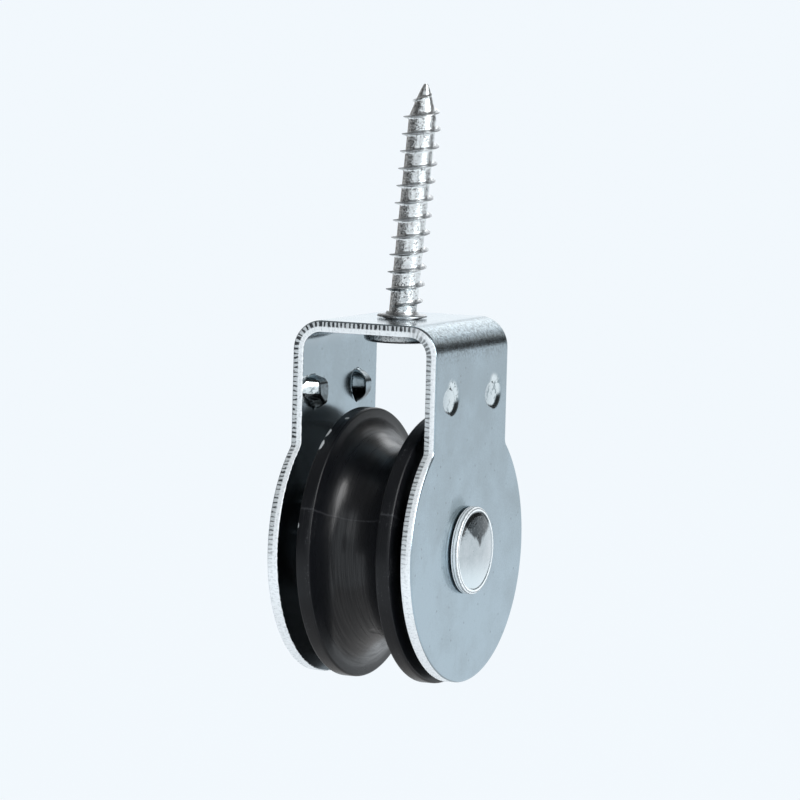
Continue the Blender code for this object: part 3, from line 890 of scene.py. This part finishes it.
def threaded_shank():
    """The threaded core as one closed skin whose rows climb with the helix, leaning as the screw does."""
    flight = flight_section()
    turns = math.ceil((SCREW_LENGTH - SHANK_FOOT) / THREAD_PITCH) + SPARE_TURNS
    bm = bmesh.new()
    columns = []
    for side in range(SCREW_SIDES):
        angle = 2 * math.pi * side / SCREW_SIDES
        column = []
        for turn in range(turns):
            climbed = turn - SPARE_TURNS / 2 + THREAD_TURN + side / SCREW_SIDES
            middle = SHANK_FOOT + THREAD_PITCH * climbed
            for offset, share in flight:
                height = min(max(middle + offset, SHANK_FOOT), SCREW_LENGTH)
                radius = core_radius(height) + share * flight_height(height)
                column.append(bm.verts.new((radius * math.cos(angle), radius * math.sin(angle), height)))
        columns.append(column)
    last = len(columns[0]) - 1
    for side in range(SCREW_SIDES):
        here = columns[side]
        there = columns[(side + 1) % SCREW_SIDES]
        climb = len(flight) if side == SCREW_SIDES - 1 else 0
        for row in range(last):
            low, high = min(row + climb, last), min(row + 1 + climb, last)
            corners = (here[row], there[low], there[high], here[row + 1])
            if len(set(corners)) == 4:
                bm.faces.new(corners)
    bmesh.ops.remove_doubles(bm, verts=bm.verts, dist=1e-3)
    bmesh.ops.delete(bm, geom=[vert for vert in bm.verts if not vert.link_faces], context="VERTS")
    bmesh.ops.holes_fill(bm, edges=[edge for edge in bm.edges if edge.is_boundary], sides=0)
    lean = Matrix.Rotation(math.radians(SCREW_LEAN), 3, "Y")
    bmesh.ops.rotate(bm, verts=bm.verts, cent=(0, 0, 0), matrix=lean)
    return bm


def make_screw():
    """The whole screw: its head under the web, its neck, its collar on the web and the threaded shank."""
    seat = -SHEET - SEAT_GAP
    underside = seat - SCREW_HEAD_THICKNESS
    soft = SCREW_HEAD_SOFT
    top = SEAT_GAP + COLLAR_THICKNESS
    shoulder = top + COLLAR_THICKNESS
    profile = [(0, shoulder), (NECK_RADIUS - 0.25, shoulder), (NECK_RADIUS, top)]
    profile += [(COLLAR_RADIUS - 0.15, top - 0.12), (COLLAR_RADIUS, top - 0.25), (COLLAR_RADIUS, SEAT_GAP)]
    profile += [(NECK_RADIUS, SEAT_GAP), (NECK_RADIUS, seat), (SCREW_HEAD_RADIUS, seat)]
    profile += arc((SCREW_HEAD_RADIUS - soft, underside + soft), soft, 0, -90, 10)
    profile += [(SCREW_HEAD_RADIUS * 0.6, underside), (0, underside)]
    bm = threaded_shank()
    head = turned(profile, SCREW_SIDES)
    spare = bpy.data.meshes.new("screw_head")
    head.to_mesh(spare)
    head.free()
    bm.from_mesh(spare)
    bpy.data.meshes.remove(spare)
    place_piece("zinc_wood_screw", bm, zinc_screw_finish(), "wood_screw", "bracket", 40)


# Studio

MIDDLE = Vector((0, 0, -12))
FLOOR_DROP = 60
FLOOR_REACH = 12000
FLOOR_GLOW = 0.98
LAMP_DISTANCE = 900
CARD_DISTANCE = 700
CEILING_HEIGHT = 700
UNDER_CARD_DROP = 45


def pale_floor_surface():
    """The floor is lit by the lamps, and near white to the camera and in reflections."""
    pale = Finish("pale_floor", Roughness=1.0, Base_Color=(*PALE, 1))
    rays = ("Is Camera Ray", "Is Glossy Ray", "Is Transmission Ray")
    camera, glossy, through = pale.node("ShaderNodeLightPath", out=rays)
    glow = pale.node("ShaderNodeEmission", None, {"Color": PALE})
    lit = Value(pale, pale.shader.outputs[0])
    share = (camera + glossy + through) * FLOOR_GLOW
    mixed = pale.node("ShaderNodeMixShader", None, {0: share, 1: lit, 2: glow})
    pale.tree.links.new(mixed.socket, pale.tree.nodes["Material Output"].inputs["Surface"])
    return pale.material


def add_stage(name, bm, material):
    """A piece of the studio, made in millimetres."""
    bmesh.ops.scale(bm, vec=(MM, MM, MM), verts=bm.verts)
    mesh = bpy.data.meshes.new(name)
    bm.to_mesh(mesh)
    bm.free()
    mesh.materials.append(material)
    stage = add_object(name, mesh)
    return stage


def towards(azimuth, elevation):
    """The direction out from the part: azimuth 0 is to the front, at -Y, and 90 at +X."""
    a = math.radians(azimuth)
    e = math.radians(elevation)
    return Vector((math.sin(a) * math.cos(e), -math.cos(a) * math.cos(e), math.sin(e)))


def add_lamp(name, azimuth, elevation, width, height, level):
    """A soft box that faces the part and looks level times as bright as white."""
    data = bpy.data.lights.new(name, "AREA")
    data.shape = "RECTANGLE"
    data.size = width * MM
    data.size_y = height * MM
    data.energy = level * math.pi * data.size * data.size_y
    lamp = add_object(name, data)
    place = towards(azimuth, elevation) * LAMP_DISTANCE + MIDDLE
    lamp.location = place * MM
    lamp.rotation_mode = "QUATERNION"
    lamp.rotation_quaternion = (MIDDLE - place).to_track_quat("-Z", "Y")
    lamp.visible_camera = False


def card_surface(name, grey, top_grey, low, high):
    """A grey that no lamp changes, from one height to another, both in millimetres."""
    shade = Finish(name, Base_Color=(0, 0, 0, 1), Roughness=1.0, Emission_Strength=1.0)
    up = shade.rise(shade.split(shade.place())[2], low, high)
    return shade.feed(Emission_Color=shade.mix(up, (grey,) * 3, (top_grey,) * 3))


def hide_card(card):
    """The camera, the shadows and the dull surfaces don't see the card."""
    card.visible_camera = False
    card.visible_shadow = False
    card.visible_diffuse = False


def add_card(name, azimuth, low, high, width, grey, top_grey=None, fade=0, distance=CARD_DISTANCE):
    """An upright dark card, from one elevation to another, that only the shiny surfaces see. With a top
    grey it changes to that one from the elevation fade upwards."""
    middle = towards(azimuth, 0) * distance + MIDDLE
    top_grey = top_grey or grey
    fade_low, fade_high = (middle.z + distance * math.tan(math.radians(e)) for e in (fade, high))
    along = towards(azimuth + 90, 0) * width / 2
    bm = bmesh.new()
    corners = []
    for side, elevation in ((-1, low), (1, low), (1, high), (-1, high)):
        up = Vector((0, 0, distance * math.tan(math.radians(elevation))))
        corners.append(bm.verts.new(middle + along * side + up))
    bm.faces.new(corners)
    hide_card(add_stage(name, bm, card_surface(name, grey, top_grey, fade_low, fade_high)))


def add_level_card(name, height, size, grey):
    """A level card over or under the part, which only the shiny surfaces see."""
    bm = bmesh.new()
    bmesh.ops.create_grid(bm, x_segments=1, y_segments=1, size=size / 2)
    bmesh.ops.translate(bm, vec=(0, 0, height), verts=bm.verts)
    hide_card(add_stage(name, bm, card_surface(name, grey, grey, 0, 1)))


def make_studio():
    """A pale floor and world, the lamps, and the cards."""
    bm = bmesh.new()
    bmesh.ops.create_circle(bm, cap_ends=True, segments=96, radius=FLOOR_REACH)
    bmesh.ops.translate(bm, vec=(0, 0, BRACKET_LOW.z - FLOOR_DROP), verts=bm.verts)
    add_stage("studio_floor", bm, pale_floor_surface())
    world = bpy.data.worlds.new("studio")
    world.use_nodes = True
    world.node_tree.nodes["Background"].inputs["Color"].default_value = (*PALE, 1)
    bpy.context.scene.world = world
    add_lamp("back_softbox", 184, 24, 420, 220, 1.1)
    add_lamp("low_back_softbox", 207, 7, 360, 220, 0.40)
    add_lamp("right_softbox", 74, 26, 350, 800, 6.5)
    add_lamp("front_strip", 5, 19, 400, 400, 0.5)
    add_card("back_card", 158, 3, 21, 340, 0.04, 0.9, 11)
    add_card("tall_back_card", 127, 3, 55, 480, 0.15)
    add_card("high_back_card", 160, 30, 60, 500, 0.12)
    add_card("left_card", -115, -9, 45, 980, 0.34)
    add_card("front_card", -48, -9, 52, 980, 0.10)
    add_card("middle_card", 22, -8, 10, 190, 0.10)
    add_card("screw_card", 127, 6, 28, 90, 0.12, distance=120)
    add_level_card("ceiling_card", CEILING_HEIGHT, 1800, 0.20)
    add_level_card("under_card", BRACKET_LOW.z - UNDER_CARD_DROP, 150, 0.6)


def make_camera():
    """The camera, where the photograph was taken from."""
    back = towards(VIEW_AZIMUTH, VIEW_ELEVATION)
    right = towards(VIEW_AZIMUTH + 90, 0)
    up = back.cross(right)
    roll = math.radians(VIEW_ROLL)
    side = right * math.cos(roll) + up * math.sin(roll)
    top = up * math.cos(roll) - right * math.sin(roll)
    data = bpy.data.cameras.new("view")
    data.sensor_width = SENSOR
    data.lens = PIXELS_PER_MM * VIEW_DISTANCE * SENSOR / PICTURE_SIDE
    data.clip_start = 0.01
    data.clip_end = 100
    camera = add_object("view", data)
    turn = Matrix((side, top, back)).transposed().to_4x4()
    camera.matrix_world = Matrix.Translation((VIEW_TARGET + back * VIEW_DISTANCE) * MM) @ turn
    bpy.context.scene.camera = camera


make_bracket()
make_sheave()
make_rivet()
make_screw()
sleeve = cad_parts["spacer_sleeve"]
sleeve.data.materials.clear()
sleeve.data.materials.append(plain_steel_finish())
make_studio()
make_camera()
bpy.context.scene.view_settings.view_transform = "Standard"
